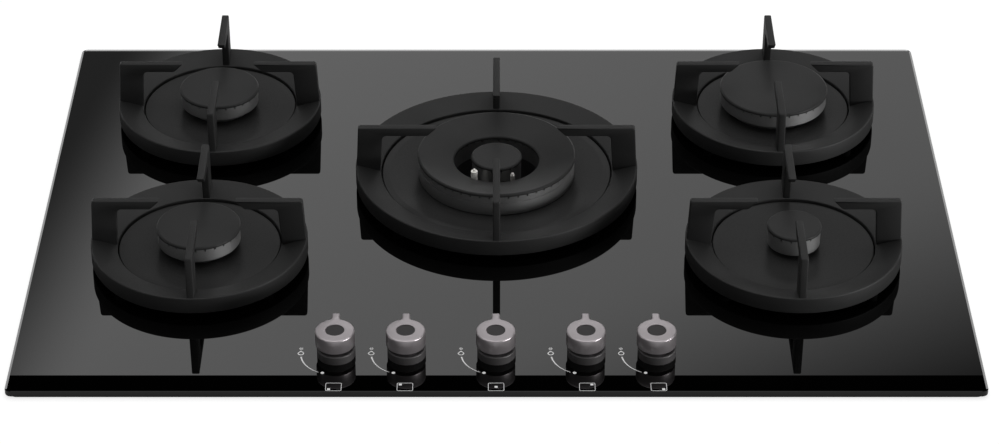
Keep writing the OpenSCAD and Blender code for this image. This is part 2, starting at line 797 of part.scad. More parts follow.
// Routes of the feed pipes that start at tap i, one for each nozzle
function pipe_routes(i) = let (
    from_y = knob_y + nozzle_reach,
    drop_y = from_y + pipe_bend + drop_run,
    cup = burner_at[i],
    cup_y = cup[1] - stem_r - cup_nozzle_len,
    side = sign(knob_x[i]),
    lane_x = side * (side_x - stem_foot_r - lane_gap),
    turn_y = drop_y + turn_run,
    join_y = cup_y - join_run
) [for (x = cup_nozzle_x(i)) concat(
    [[knob_x[i] + x, from_y, nozzle_z], [knob_x[i] + x, drop_y, nozzle_z]],
    i == CENTER ? [[x, drop_y, pipe_z], [x, cup_y, pipe_z]]
        : cup[1] < 0
        ? [[knob_x[i], drop_y, pipe_z], [cup[0], drop_y, pipe_z], [cup[0], cup_y, pipe_z]]
        : [[knob_x[i], drop_y, pipe_z], [knob_x[i], turn_y, pipe_z], [lane_x, turn_y, pipe_z],
            [lane_x, join_y, pipe_z], [cup[0], join_y, pipe_z], [cup[0], cup_y, pipe_z]]
)];

module feed_pipes() {
    color([0.75, 0.75, 0.76])
    for (i = all_burners, route = pipe_routes(i))
        difference() {
            bent_bar(route, pipe_r, pipe_bend);
            bent_bar(route, pipe_r - pipe_wall, pipe_bend);
        }
}

module spark_generator() {
    color([0.85, 0.85, 0.82])
    translate([spark_box_at[0], spark_box_at[1], sheet_t]) {
        translate([-spark_box_w / 2, -spark_box_d / 2, 0]) cube([spark_box_w, spark_box_d, spark_box_h]);
        for (k = all_burners)
            translate([(k - CENTER) * spark_box_w / 6, -spark_box_d / 2, spark_box_h / 2])
                rotate([90, 0, 0]) cylinder(h = spark_outlet_len, r = spark_outlet_r);
    }
}

module terminal_box() {
    color([0.9, 0.9, 0.88])
    translate([terminal_at[0], terminal_at[1], 0])
    difference() {
        union() {
            translate([-terminal_w / 2, -terminal_d / 2, sheet_t]) cube([terminal_w, terminal_d, terminal_h]);
            translate([0, terminal_d / 2 - 1, spout_z]) rotate([-90, 0, 0])
                cylinder(h = sheet_t + spout_len + 1, r = cable_r + spout_wall);
        }
        translate([0, terminal_d / 2 - cable_room, spout_z]) rotate([-90, 0, 0])
            cylinder(h = cable_room + sheet_t + spout_len + 1, r = cable_r);
    }
}

module cup_screws() {
    color([0.7, 0.7, 0.7])
    for (i = all_burners, s = [-1, 1])
        translate([burner_at[i][0] + s * screw_r, burner_at[i][1], 0]) {
            translate([0, 0, rest_gap / 2]) cylinder(h = sheet_t + stem_foot_t, r = screw_shank_r);
            translate([0, 0, sheet_t + stem_foot_t]) cylinder(h = screw_head_h, r = screw_head_r);
        }
}

// Parts that lift off

// L-shaped finger, from the outer wall of its ring to the tip over the burner
module finger(i) {
    tip = tip_r[i];
    sunk = 0.3;
    leg_out = ring_r[i] - sunk;
    leg_in = leg_out - finger_leg_w + 0.8;
    arm_low = finger_top - finger_arm_h;
    root_z = foot_h + 3;
    ring_low = ring_top - ring_fall;
    rotate([90, 0, 0]) linear_extrude(height = finger_t, center = true)
    polygon([
        [leg_out, root_z], [leg_out - finger_lean, finger_top], [tip, finger_top],
        [tip + finger_arm_h, arm_low], [leg_in - finger_lean, arm_low], [leg_in, ring_low - 1],
        [leg_in, ring_low - ring_t + 1], [leg_out - ring_wall / 2, root_z],
    ]);
}

module pan_support(i) {
    r = ring_r[i];
    r_in = r - ring_band;
    step = r - ring_wall;
    step_z = ring_top - ring_fall * ring_wall / ring_band;
    inner_edge = 0.6;
    color([0.09, 0.09, 0.095])
    translate([burner_at[i][0], burner_at[i][1], top_z])
    difference() {
        union() {
            rotate_extrude()
            polygon([
                [r_in, ring_top - ring_fall - ring_t], [step, step_z - ring_t], [step, foot_h], [r, foot_h],
                [r, ring_top - ring_edge], [r - ring_edge * 0.3, ring_top - ring_edge * 0.3],
                [r - ring_edge, ring_top], [r_in + inner_edge, ring_top - ring_fall],
                [r_in, ring_top - ring_fall - inner_edge],
            ]);
            for (a = finger_angles) rotate([0, 0, a]) finger(i);
        }
        for (a = foot_angles)
            rotate([0, 0, a]) translate([r - ring_wall / 2, 0, foot_h - 1])
                cylinder(h = foot_stem_h + 1.2, r = foot_stem_r + running, $fn = 48);
    }
}

module support_feet(i) {
    color([0.05, 0.05, 0.05])
    translate([burner_at[i][0], burner_at[i][1], top_z])
    for (a = foot_angles)
        rotate([0, 0, a]) translate([ring_r[i] - ring_wall / 2, 0, 0]) {
            cylinder(h = foot_h, r = foot_r, $fn = 48);
            cylinder(h = foot_h + foot_stem_h, r = foot_stem_r, $fn = 48);
        }
}

// Slots cut down from the upper edge of a crown's wall, which starts at r_in
module ports(r_in, r_out, top) {
    count = floor(2 * PI * r_out / port_pitch);
    for (k = [0 : count - 1])
        rotate([0, 0, (k + 0.5) * 360 / count])
        translate([r_in - 0.5, -port_w / 2, top - port_h])
            cube([r_out - r_in + 1, port_w, port_h + 1]);
}

// Way for an electrode or thermocouple past a crown, open to the outside
module probe_notch(angle, place, low, h) {
    rotate([0, 0, angle]) {
        translate([place, 0, low]) cylinder(h = h, r = ceramic_r + notch_gap);
        translate([place, -ceramic_r - notch_gap, low])
            cube([cup_inset, 2 * (ceramic_r + notch_gap), h]);
    }
}

// Burner head with one ring of ports: crown, neck and mixing tube
module round_spreader(at, r, neck_r, top, crown_h, notches) {
    crown_top = top - cap_t - rest_gap;
    crown_low = crown_top - crown_h;
    chamber_r = r - crown_wall;
    neck_low = cup_top + rest_gap;
    neck_in_r = neck_r - cup_wall - spigot_gap;
    tube_r = mixing_r + mixing_wall;
    color([0.3, 0.3, 0.31])
    translate([at[0], at[1], top_z])
    difference() {
        union() {
            translate([0, 0, crown_low]) cylinder(h = crown_h, r = r);
            translate([0, 0, neck_low]) cylinder(h = crown_low - neck_low + 1, r = neck_r);
            translate([0, 0, cup_top - spigot_depth]) cylinder(h = 2 * spigot_depth, r = neck_in_r);
            translate([0, 0, -mixing_depth]) cylinder(h = mixing_depth + crown_low, r = tube_r);
        }
        translate([0, 0, crown_low + crown_floor]) cylinder(h = crown_h, r = chamber_r);
        translate([0, 0, -mixing_depth - 1]) cylinder(h = top, r = mixing_r);
        difference() {
            translate([0, 0, cup_top - spigot_depth - 1])
                cylinder(h = crown_low - cup_top + spigot_depth, r = neck_in_r - spigot_w + spigot_gap);
            translate([0, 0, -mixing_depth]) cylinder(h = mixing_depth + crown_low + 1, r = tube_r);
        }
        ports(chamber_r, r, crown_top);
        if (notches != undef)
            for (a = [side_ceramic_angle, side_probe_angle])
                probe_notch(a, notches, crown_low - 1, crown_h + 2);
    }
}

// Half section of the center burner's ring: channel with a low inner wall, two necks and spigot
module ring_spreader_section(crown_low, outer_top, inner_top) {
    groove = 0.6;
    neck_low = cup_top + rest_gap;
    neck_h = crown_low - neck_low + 1;
    neck_r = cup_outer_r[CENTER];
    spigot_r = neck_r - cup_wall - spigot_gap - spigot_w;
    r_in = ring_crown_in_r;
    difference() {
        union() {
            translate([r_in, crown_low]) square([crown_r[CENTER] - r_in, crown_floor]);
            translate([r_in, crown_low]) square([crown_wall, inner_top - crown_low]);
            translate([crown_r[CENTER] - crown_wall, crown_low])
                square([crown_wall, outer_top - crown_low]);
            translate([spigot_r, neck_low]) square([neck_r - spigot_r, neck_h]);
            translate([spigot_r, cup_top - spigot_depth]) square([spigot_w, spigot_depth + neck_h]);
            translate([r_in, neck_low]) square([cup_wall, neck_h]);
        }
        translate([crown_r[CENTER] - groove, ring_groove_z]) square([groove + 1, groove]);
    }
}

// Burner head of the outer ring of the center burner, with ports inside and outside
module ring_spreader() {
    crown_top = ring_cap_top - cap_t - rest_gap;
    inner_top = crown_top - ring_cap_fall;
    crown_low = crown_top - ring_crown_h;
    r = crown_r[CENTER];
    color([0.3, 0.3, 0.31])
    translate([burner_at[CENTER][0], burner_at[CENTER][1], top_z])
    difference() {
        union() {
            rotate_extrude() ring_spreader_section(crown_low, crown_top, inner_top);
            translate([ring_injector_at[0], ring_injector_at[1], -mixing_depth])
                cylinder(h = mixing_depth + crown_low + 1, r = mixing_r + mixing_wall);
        }
        translate([ring_injector_at[0], ring_injector_at[1], -mixing_depth - 1])
            cylinder(h = mixing_depth + crown_top, r = mixing_r);
        ports(r - crown_wall, r, crown_top);
        ports(ring_crown_in_r, ring_crown_in_r + crown_wall, inner_top);
    }
}

module round_cap(at, r, top) {
    color([0.16, 0.16, 0.17])
    translate([at[0], at[1], top_z + top - cap_t]) {
        collar_out = r - cap_over - crown_wall - spigot_gap;
        rounded_disc(0, r, cap_t, cap_edge);
        translate([0, 0, -cap_spigot]) difference() {
            cylinder(h = cap_spigot + 1, r = collar_out);
            translate([0, 0, -1]) cylinder(h = cap_spigot + 1, r = collar_out - spigot_w);
        }
    }
}

// Dished cap: its top falls from the rim to the hole, and both walls of the crown carry it
module ring_cap() {
    lip = 1.2;
    lip_bend = 0.35;
    hole_top = cap_t - ring_cap_fall;
    seat_in = ring_crown_in_r + crown_wall + spigot_gap;
    seat_out = crown_r[CENTER] - crown_wall - spigot_gap;
    under_in = cap_t / 2 - ring_cap_fall;
    flat_out = ring_cap_r - cap_edge;
    color([0.16, 0.16, 0.17])
    translate([burner_at[CENTER][0], burner_at[CENTER][1], top_z + ring_cap_top - cap_t])
    rotate_extrude() {
        polygon([
            [flat_out, 0], [seat_out, 0], [seat_out, -cap_spigot], [seat_out - spigot_w, -cap_spigot],
            [seat_out - spigot_w, -cap_t / 4], [seat_in + spigot_w, under_in],
            [seat_in + spigot_w, -ring_cap_fall - cap_spigot], [seat_in, -ring_cap_fall - cap_spigot],
            [seat_in, -ring_cap_fall], [ring_cap_hole_r, -ring_cap_fall],
            [ring_cap_hole_r, hole_top - lip], [ring_cap_hole_r + lip * lip_bend, hole_top - lip * lip_bend],
            [ring_cap_hole_r + lip, hole_top], [flat_out, cap_t],
        ]);
        translate([flat_out, 0]) square([cap_edge, cap_t - cap_edge]);
        translate([flat_out, cap_t - cap_edge]) intersection() {
            circle(cap_edge);
            square(cap_edge + 1);
        }
    }
}

// Knobs and what turns with them

// Pointer tab, seen from above, with hollow corners where it meets the knob
module tab_outline() {
    fillet = 3;
    root_y = knob_r + 1.2;
    difference() {
        union() {
            translate([-tab_w / 2, 0]) square([tab_w, tab_reach - tab_corner]);
            translate([tab_corner - tab_w / 2, 0]) square([tab_w - 2 * tab_corner, tab_reach]);
            for (s = [-1, 1])
                translate([s * (tab_w / 2 - tab_corner), tab_reach - tab_corner]) circle(tab_corner);
            translate([-tab_w / 2 - fillet, 0]) square([tab_w + 2 * fillet, root_y]);
        }
        for (s = [-1, 1])
            translate([s * (tab_w / 2 + fillet), root_y]) circle(fillet);
    }
}

module knob(i) {
    color([0.42, 0.4, 0.4])
    translate([knob_x[i], knob_y, top_z])
    difference() {
        union() {
            translate([0, 0, knob_bottom]) rounded_disc(0, knob_r, knob_top - knob_bottom, knob_edge);
            translate([0, 0, hub_bottom]) cylinder(h = knob_bottom - hub_bottom + 1, r = hub_r);
            translate([0, 0, knob_top - tab_h]) linear_extrude(height = tab_h - tab_drop) tab_outline();
        }
        translate([0, 0, knob_top - insert_sunk - insert_t])
            cylinder(h = insert_t + insert_sunk + 1, r = insert_r + running);
        translate([0, 0, hub_bottom - 1])
            flatted_bar(spindle_hole_r, spindle_flat, spindle_top + tab_drop - hub_bottom + 1);
    }
}

module knob_insert(i) {
    color([0.22, 0.21, 0.21])
    translate([knob_x[i], knob_y, top_z + knob_top - insert_sunk - insert_t])
        cylinder(h = insert_t, r = insert_r);
}

module spindle(i) {
    color([0.72, 0.72, 0.72])
    translate([knob_x[i], knob_y, spindle_bottom])
        flatted_bar(spindle_r, spindle_flat, top_z + spindle_top - spindle_bottom);
}

// Turning plug: socket for the spindle above, gas bore and its ports below.
// A port points to the right at rest, so the tap is shut; a quarter turn brings it to the nozzle.
module tap_plug(i) {
    swing = i == CENTER ? asin(nozzle_x * nozzle_bore_share / plug_r) : 0;
    color([0.78, 0.64, 0.34])
    translate([knob_x[i], knob_y, 0])
    difference() {
        translate([0, 0, plug_bottom + plug_play])
            cylinder(h = tap_top - plug_bottom - 2 * plug_play, r = plug_r - running);
        translate([0, 0, plug_socket_bottom])
            flatted_bar(spindle_hole_r, spindle_flat, tap_top - plug_socket_bottom + 1);
        translate([0, 0, plug_bottom]) cylinder(h = plug_bore_top - plug_bottom, r = gas_bore_r);
        for (a = i == CENTER ? [-swing, swing] : [0])
            rotate([0, 0, a]) translate([0, 0, nozzle_z]) rotate([0, 90, 0])
                cylinder(h = plug_r + 1, r = gas_bore_r - plug_play);
    }
}

glass_top();
base_tray();
worktop_seal();
burner_plates();
burner_cups();
injectors();
spark_electrodes();
thermocouples();
knob_collars();
tap_bodies();
tap_covers();
gas_manifold();
gas_inlet_connector();
feed_pipes();
spark_generator();
ignition_switches();
terminal_box();
cup_screws();
pan_support(0);  // pan_support_front_left
pan_support(1);  // pan_support_rear_left
pan_support(2);  // pan_support_center
pan_support(3);  // pan_support_rear_right
pan_support(4);  // pan_support_front_right
support_feet(0);  // support_feet_front_left
support_feet(1);  // support_feet_rear_left
support_feet(2);  // support_feet_center
support_feet(3);  // support_feet_rear_right
support_feet(4);  // support_feet_front_right
round_spreader(burner_at[0], crown_r[0], cup_outer_r[0], cap_top, medium_crown_h, side_probe_r[0]);  // flame_spreader_front_left
round_spreader(burner_at[1], crown_r[1], cup_outer_r[1], cap_top, medium_crown_h, side_probe_r[1]);  // flame_spreader_rear_left
ring_spreader();  // flame_spreader_center_ring
round_spreader(burner_at[2], inner_crown_r, inner_cup_r, inner_cap_top, inner_crown_h);  // flame_spreader_center_inner
round_spreader(burner_at[3], crown_r[3], cup_outer_r[3], cap_top, large_crown_h, side_probe_r[3]);  // flame_spreader_rear_right
round_spreader(burner_at[4], crown_r[4], cup_outer_r[4], cap_top, small_crown_h, side_probe_r[4]);  // flame_spreader_front_right
round_cap(burner_at[0], cap_r[0], cap_top);  // burner_cap_front_left
round_cap(burner_at[1], cap_r[1], cap_top);  // burner_cap_rear_left
ring_cap();  // burner_cap_center_ring
round_cap(burner_at[2], inner_cap_r, inner_cap_top);  // burner_cap_center_inner
round_cap(burner_at[3], cap_r[3], cap_top);  // burner_cap_rear_right
round_cap(burner_at[4], cap_r[4], cap_top);  // burner_cap_front_right
knob(0);  // knob_front_left
knob(1);  // knob_rear_left
knob(2);  // knob_center
knob(3);  // knob_rear_right
knob(4);  // knob_front_right
knob_insert(0);  // knob_insert_front_left
knob_insert(1);  // knob_insert_rear_left
knob_insert(2);  // knob_insert_center
knob_insert(3);  // knob_insert_rear_right
knob_insert(4);  // knob_insert_front_right
spindle(0);  // spindle_front_left
spindle(1);  // spindle_rear_left
spindle(2);  // spindle_center
spindle(3);  // spindle_rear_right
spindle(4);  // spindle_front_right
tap_plug(0);  // tap_plug_front_left
tap_plug(1);  // tap_plug_rear_left
tap_plug(2);  // tap_plug_center
tap_plug(3);  // tap_plug_rear_right
tap_plug(4);  // tap_plug_front_right
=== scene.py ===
import math

import bmesh
import bpy
from mathutils import Matrix, Vector


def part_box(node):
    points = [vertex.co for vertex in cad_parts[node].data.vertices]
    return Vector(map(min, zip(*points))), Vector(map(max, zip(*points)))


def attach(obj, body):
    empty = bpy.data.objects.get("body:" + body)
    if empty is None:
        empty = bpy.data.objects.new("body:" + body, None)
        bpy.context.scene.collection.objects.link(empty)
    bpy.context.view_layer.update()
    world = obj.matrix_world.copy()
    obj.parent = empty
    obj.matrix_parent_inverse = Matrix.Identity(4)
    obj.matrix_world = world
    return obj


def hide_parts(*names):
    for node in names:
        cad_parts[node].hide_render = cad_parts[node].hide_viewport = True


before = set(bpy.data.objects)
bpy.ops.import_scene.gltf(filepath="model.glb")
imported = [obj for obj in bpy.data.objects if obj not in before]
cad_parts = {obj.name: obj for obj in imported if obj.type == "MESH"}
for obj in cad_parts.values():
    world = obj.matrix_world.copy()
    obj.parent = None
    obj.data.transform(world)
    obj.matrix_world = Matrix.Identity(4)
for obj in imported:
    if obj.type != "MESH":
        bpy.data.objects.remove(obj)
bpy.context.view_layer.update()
print("frame loaded:", len(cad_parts), "nodes")


# Places and sizes that the solids give, in metres

def middleOf(node):
    low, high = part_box(node)
    return (low + high) / 2


burners = ("front_left", "rear_left", "center", "rear_right", "front_right")
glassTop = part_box("glass_top")[1].z
knobAt = {b: middleOf("spindle_" + b) for b in burners}
supportAt = {b: middleOf("pan_support_" + b) for b in burners}


# Helpers for meshes: points closer than closeBy are one, a cut goes cutPast its wall
closeBy = 1e-6
cutPast = 0.001
quarterTurn = math.pi / 2
cornerSigns = ((1, 1), (-1, 1), (-1, -1), (1, -1))


def meshFrom(bm, name):
    mesh = bpy.data.meshes.new(name)
    bm.to_mesh(mesh)
    bm.free()
    return mesh


def linked(name, data):
    added = bpy.data.objects.new(name, data)
    bpy.context.collection.objects.link(added)
    return added


def cleaned(bm):
    bmesh.ops.remove_doubles(bm, verts=bm.verts, dist=closeBy)
    bmesh.ops.recalc_face_normals(bm, faces=bm.faces)
    return bm


def meshObject(name, bm, material, smoothAngle=32):
    mesh = meshFrom(cleaned(bm), name)
    mesh.materials.append(material)
    mesh.shade_smooth()
    mesh.set_sharp_from_angle(angle=math.radians(smoothAngle))
    return linked(name, mesh)


def moved(bm, vec):
    bmesh.ops.translate(bm, verts=bm.verts, vec=vec)
    return bm


def rotated(bm, angle, axis):
    bmesh.ops.rotate(bm, verts=bm.verts, cent=(0, 0, 0), matrix=Matrix.Rotation(angle, 3, axis))
    return bm


def spun(bm, angle, steps, closed):
    # sweeps an open line about Z
    bmesh.ops.spin(bm, geom=bm.verts[:] + bm.edges[:], cent=(0, 0, 0), axis=(0, 0, 1),
                   dvec=(0, 0, 0), angle=angle, steps=steps, use_merge=closed,
                   use_duplicate=False)
    return bm


def softened(bm, geom, radius, steps, affect="EDGES", clamp=False):
    bmesh.ops.bevel(bm, geom=geom, affect=affect, offset=radius, offset_type="OFFSET",
                    segments=steps, profile=0.5, material=-1, clamp_overlap=clamp)


def edgesAt(bm, height):
    return [e for e in bm.edges if all(abs(p.co.z - height) < closeBy for p in e.verts)]


def roundedOutline(corners, rounds, steps):
    # flat face in XY with each corner rounded by its own radius
    bm = bmesh.new()
    points = [bm.verts.new((x, y, 0)) for x, y in corners]
    bm.faces.new(points)
    for point, radius in zip(points, rounds):
        if radius > 0:
            softened(bm, [point], radius, steps, "VERTICES")
    return bm


def drawnOut(bm, depth):
    # closed solid from flat faces at z = 0, upwards
    drawn = bmesh.ops.extrude_face_region(bm, geom=bm.faces[:])
    bmesh.ops.translate(bm, vec=(0, 0, depth),
                        verts=[v for v in drawn["geom"] if isinstance(v, bmesh.types.BMVert)])
    bmesh.ops.recalc_face_normals(bm, faces=bm.faces)
    return bm


def turned(bm, steps):
    # an outline in XY, read as radius and height, turned about Z
    bmesh.ops.delete(bm, geom=bm.faces[:], context="FACES_ONLY")
    return cleaned(spun(rotated(bm, quarterTurn, "X"), 4 * quarterTurn, steps, True))


def roundPlug(radius, low, high, steps=96):
    bm = bmesh.new()
    bmesh.ops.create_cone(bm, cap_ends=True, segments=steps, radius1=radius, radius2=radius,
                          depth=high - low)
    return moved(bm, (0, 0, (high + low) / 2))


def combined(first, second, operation):
    # joins or cuts two closed meshes
    parts = [linked(name, meshFrom(bm, name))
             for name, bm in (("firstPart", first), ("secondPart", second))]
    boolean = parts[0].modifiers.new("combine", "BOOLEAN")
    boolean.operation = operation
    boolean.solver = "EXACT"
    boolean.object = parts[1]
    evaluated = parts[0].evaluated_get(bpy.context.evaluated_depsgraph_get())
    result = bmesh.new()
    result.from_mesh(evaluated.to_mesh())
    evaluated.to_mesh_clear()
    for part in parts:
        mesh = part.data
        bpy.data.objects.remove(part)
        bpy.data.meshes.remove(mesh)
    return result


def gathered(shells):
    # several closed shells in one mesh
    together = bmesh.new()
    for bm in shells:
        mesh = meshFrom(bm, "shell")
        together.from_mesh(mesh)
        bpy.data.meshes.remove(mesh)
    return together


# Camera: level, in front of the middle, looking down on the glass
viewer = {"height": 1.412, "distance": 2.092, "pitch": 33.27, "lens": 107.9, "sensor": 36,
          "sidestep": 0.003, "drop": -0.0033, "farthest": 50}

cameraData = bpy.data.cameras.new("viewer")
cameraData.lens = viewer["lens"]
cameraData.sensor_width = viewer["sensor"]
cameraData.shift_x = viewer["sidestep"]
cameraData.shift_y = viewer["drop"]
cameraData.clip_end = viewer["farthest"]
camera = linked("viewer", cameraData)
camera.location = (0, -viewer["distance"], viewer["height"])
camera.rotation_euler = (math.radians(90 - viewer["pitch"]), 0, 0)
bpy.context.scene.camera = camera
bpy.context.scene.view_settings.view_transform = "Standard"
print("camera ready")


# Materials: each has a slow change of colour, and a fine grain in roughness and bump
mottle = {"low": 0.3, "high": 0.7, "patchDetail": 3, "grainDetail": 2, "bump": 0.5}


def noiseAt(tree, scale, detail):
    coords = tree.nodes.new("ShaderNodeTexCoord")
    noise = tree.nodes.new("ShaderNodeTexNoise")
    noise.inputs["Scale"].default_value = scale
    noise.inputs["Detail"].default_value = detail
    tree.links.new(coords.outputs["Object"], noise.inputs["Vector"])
    return noise.outputs["Fac"]


def finish(name, darker, lighter, roughness, metallic=0.0, grain=900, depth=0.00004,
           patches=30, **sockets):
    v = mottle
    material = bpy.data.materials.new(name)
    material.use_nodes = True
    tree = material.node_tree
    shader = tree.nodes["Principled BSDF"]
    shader.inputs["Metallic"].default_value = metallic
    for socket, value in sockets.items():
        shader.inputs[socket.replace("_", " ")].default_value = value
    ramp = tree.nodes.new("ShaderNodeValToRGB")
    for element, place, color in zip(ramp.color_ramp.elements, (v["low"], v["high"]),
                                     (darker, lighter)):
        element.position = place
        element.color = (*color, 1)
    tree.links.new(noiseAt(tree, patches, v["patchDetail"]), ramp.inputs["Fac"])
    tree.links.new(ramp.outputs["Color"], shader.inputs["Base Color"])
    fine = noiseAt(tree, grain, v["grainDetail"])
    ranged = tree.nodes.new("ShaderNodeMapRange")
    for socket, value in zip(("From Min", "From Max", "To Min", "To Max"),
                             (v["low"], v["high"], *roughness)):
        ranged.inputs[socket].default_value = value
    tree.links.new(fine, ranged.inputs["Value"])
    tree.links.new(ranged.outputs["Result"], shader.inputs["Roughness"])
    if depth > 0:
        bump = tree.nodes.new("ShaderNodeBump")
        bump.inputs["Strength"].default_value = v["bump"]
        bump.inputs["Distance"].default_value = depth
        tree.links.new(fine, bump.inputs["Height"])
        tree.links.new(bump.outputs["Normal"], shader.inputs["Normal"])
    return material


def gray(level, warm=0.0):
    return (level * (1 + warm), level, level * (1 + 0.4 * warm))


finishes = {name: finish(name, *values, **more) for name, values, more in (
    ("blackGlass", (gray(0.0004), gray(0.0006), (0.0, 0.003)),
     {"grain": 14, "depth": 0, "patches": 6, "IOR": 1.5}),
    ("castIron", (gray(0.0125), gray(0.015), (0.5, 0.6)),
     {"grain": 1400, "depth": 0.00005, "Specular_IOR_Level": 0.35}),
    ("plateEnamel", (gray(0.019), gray(0.022), (0.26, 0.33)),
     {"grain": 1600, "depth": 0.00003, "Specular_IOR_Level": 0.1}),
    ("capEnamel", (gray(0.025), gray(0.028), (0.32, 0.4)),
     {"grain": 1600, "depth": 0.00003, "Specular_IOR_Level": 0.11}),
    ("spreaderMetal", (gray(0.37), gray(0.43), (0.4, 0.5), 1.0), {"grain": 1800, "depth": 0.00003}),
    # the burner cups' dark grey is partly painted shade: their aluminium is made darker than bare
    # metal so that the inside of the burner holes looks shaded
    ("cupMetalPaintedShade", (gray(0.15), gray(0.2), (0.34, 0.46), 1.0), {"grain": 1200, "depth": 0.00006}),
    ("brass", ((0.5, 0.34, 0.13), (0.6, 0.43, 0.18), (0.28, 0.4), 1.0), {}),
    ("steel", (gray(0.42), gray(0.52), (0.3, 0.42), 1.0), {}),
    ("probeSteel", ((0.56, 0.54, 0.51), (0.66, 0.64, 0.61), (0.3, 0.4), 0.6), {}),
    ("pipeMetal", (gray(0.55), gray(0.66), (0.32, 0.45), 1.0), {}),
    ("ceramic", ((0.72, 0.7, 0.66), (0.82, 0.81, 0.77), (0.25, 0.35)), {"depth": 0.00001}),
    ("print", (gray(0.74), gray(0.8), (0.4, 0.5)), {"depth": 0.000005}),
    ("rubber", (gray(0.001), gray(0.0015), (0.8, 0.9)),
     {"grain": 700, "depth": 0.00006, "Specular_IOR_Level": 0.02}),
    ("trayPaint", (gray(0.011), gray(0.016), (0.5, 0.65)), {"grain": 1500, "depth": 0.00005}),
    ("palePlastic", ((0.62, 0.61, 0.56), (0.7, 0.69, 0.64), (0.45, 0.6)), {}),
    ("darkPlastic", (gray(0.02), gray(0.028), (0.45, 0.6)), {}),
    ("knobBody", (gray(0.45, 0.08), gray(0.49, 0.08), (0.29, 0.37), 0.8),
     {"grain": 2600, "depth": 0.00002}),
    ("knobDisc", (gray(0.029, 0.08), gray(0.035, 0.08), (0.4, 0.5), 0.3),
     {"grain": 2600, "depth": 0.00002}),
    ("collar", (gray(0.07, 0.05), gray(0.08, 0.05), (0.4, 0.5), 0.4), {}),
)}

nodeFinish = {
    "glass_top": "blackGlass", "base_tray": "trayPaint", "worktop_seal": "rubber",
    "burner_plates": "plateEnamel", "burner_cups": "cupMetalPaintedShade", "injectors": "brass",
    "spark_electrodes": "ceramic", "thermocouples": "probeSteel", "knob_collars": "collar",
    "tap_bodies": "brass", "tap_covers": "steel", "gas_manifold": "steel",
    "gas_inlet_connector": "brass", "feed_pipes": "pipeMetal", "spark_generator": "palePlastic",
    "ignition_switches": "darkPlastic", "terminal_box": "palePlastic", "cup_screws": "steel",
    # pieces that come several times go by the start of their names
    "pan_support": "castIron", "support_feet": "rubber", "flame_spreader": "spreaderMetal",
    "burner_cap": "capEnamel", "knob_insert": "knobDisc", "knob_": "knobBody",
    "spindle": "steel", "tap_plug": "brass",
}

for nodeName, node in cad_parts.items():
    finishName = nodeFinish.get(nodeName)
    if finishName is None:
        finishName = next(f for start, f in nodeFinish.items() if nodeName.startswith(start))
    for slot in node.material_slots:
        slot.material = finishes[finishName]
print("materials on", len(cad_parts), "nodes")


# Stage: a pale worktop with the cut-out for the tray, which the camera sees near white
worktop = {"height": 0.046, "halfSize": 6.0, "cutoutX": 0.3555, "cutoutY": 0.2455,
           "paint": 0.55, "seenPaint": 0.32, "seenGlow": 0.78}


def mixed(tree, first, choices):
    # each choice is a kind of rays and the shader that they meet; the last one wins
    shown = first
    for rays, shader in choices:
        mix = tree.nodes.new("ShaderNodeMixShader")
        tree.links.new(rays, mix.inputs["Fac"])
        tree.links.new(shown.outputs[0], mix.inputs[1])
        tree.links.new(shader.outputs[0], mix.inputs[2])
        shown = mix
    return shown.outputs[0]


def floorFinish():
    v = worktop
    material = bpy.data.materials.new("paleFloor")
    material.use_nodes = True
    tree = material.node_tree
    tree.nodes.clear()
    output = tree.nodes.new("ShaderNodeOutputMaterial")
    rays = tree.nodes.new("ShaderNodeLightPath").outputs
    backfacing = tree.nodes.new("ShaderNodeNewGeometry").outputs["Backfacing"]
    lit, seenLit = (tree.nodes.new("ShaderNodeBsdfDiffuse") for k in range(2))
    lit.inputs["Color"].default_value = (*gray(v["paint"]), 1)
    seenLit.inputs["Color"].default_value = (*gray(v["seenPaint"]), 1)
    glow, white = (tree.nodes.new("ShaderNodeEmission") for k in range(2))
    glow.inputs["Strength"].default_value = v["seenGlow"]
    glowing = tree.nodes.new("ShaderNodeAddShader")
    tree.links.new(seenLit.outputs["BSDF"], glowing.inputs[0])
    tree.links.new(glow.outputs["Emission"], glowing.inputs[1])
    clear = tree.nodes.new("ShaderNodeBsdfTransparent")
    tree.links.new(mixed(tree, lit, ((rays["Is Camera Ray"], glowing),
                                     (rays["Is Transmission Ray"], white),
                                     (backfacing, clear))), output.inputs["Surface"])
    return material


def makeFloor():
    v = worktop
    bm = bmesh.new()
    bmesh.ops.create_grid(bm, x_segments=1, y_segments=1, size=v["halfSize"])
    moved(bm, (0, 0, v["height"]))
    for normal, half in ((Vector((1, 0, 0)), v["cutoutX"]), (Vector((0, 1, 0)), v["cutoutY"])):
        for side in (-1, 1):
            bmesh.ops.bisect_plane(bm, geom=bm.verts[:] + bm.edges[:] + bm.faces[:],
                                   plane_co=normal * side * half, plane_no=normal)
    cutout = [f for f in bm.faces if f.calc_center_median().xy.length < v["cutoutY"]]
    bmesh.ops.delete(bm, geom=cutout, context="FACES")
    mesh = meshFrom(bm, "floor")
    mesh.materials.append(floorFinish())
    floor = linked("floor", mesh)


makeFloor()

lamps = {
    "topPanel": {"at": (0.1, 0.6, 2.3), "wide": 2.0, "high": 2.0, "power": 16,
                 "mirrored": False},
    "rightPanel": {"at": (3.65, -1.85, 0.35), "wide": 2.4, "high": 0.5, "power": 105,
                   "mirrored": True},
    "leftPanel": {"at": (-2.3, -0.6, 0.5), "wide": 0.9, "high": 0.9, "power": 1,
                  "mirrored": True},
}
for lampName, v in lamps.items():
    lampData = bpy.data.lights.new(lampName, "AREA")
    lampData.shape = "RECTANGLE"
    lampData.size, lampData.size_y = v["wide"], v["high"]
    lampData.energy = v["power"]
    lamp = linked(lampName, lampData)
    lamp.visible_glossy = v["mirrored"]
    lamp.location = v["at"]
    lamp.rotation_euler = (-Vector(v["at"])).to_track_quat("-Z", "Y").to_euler()

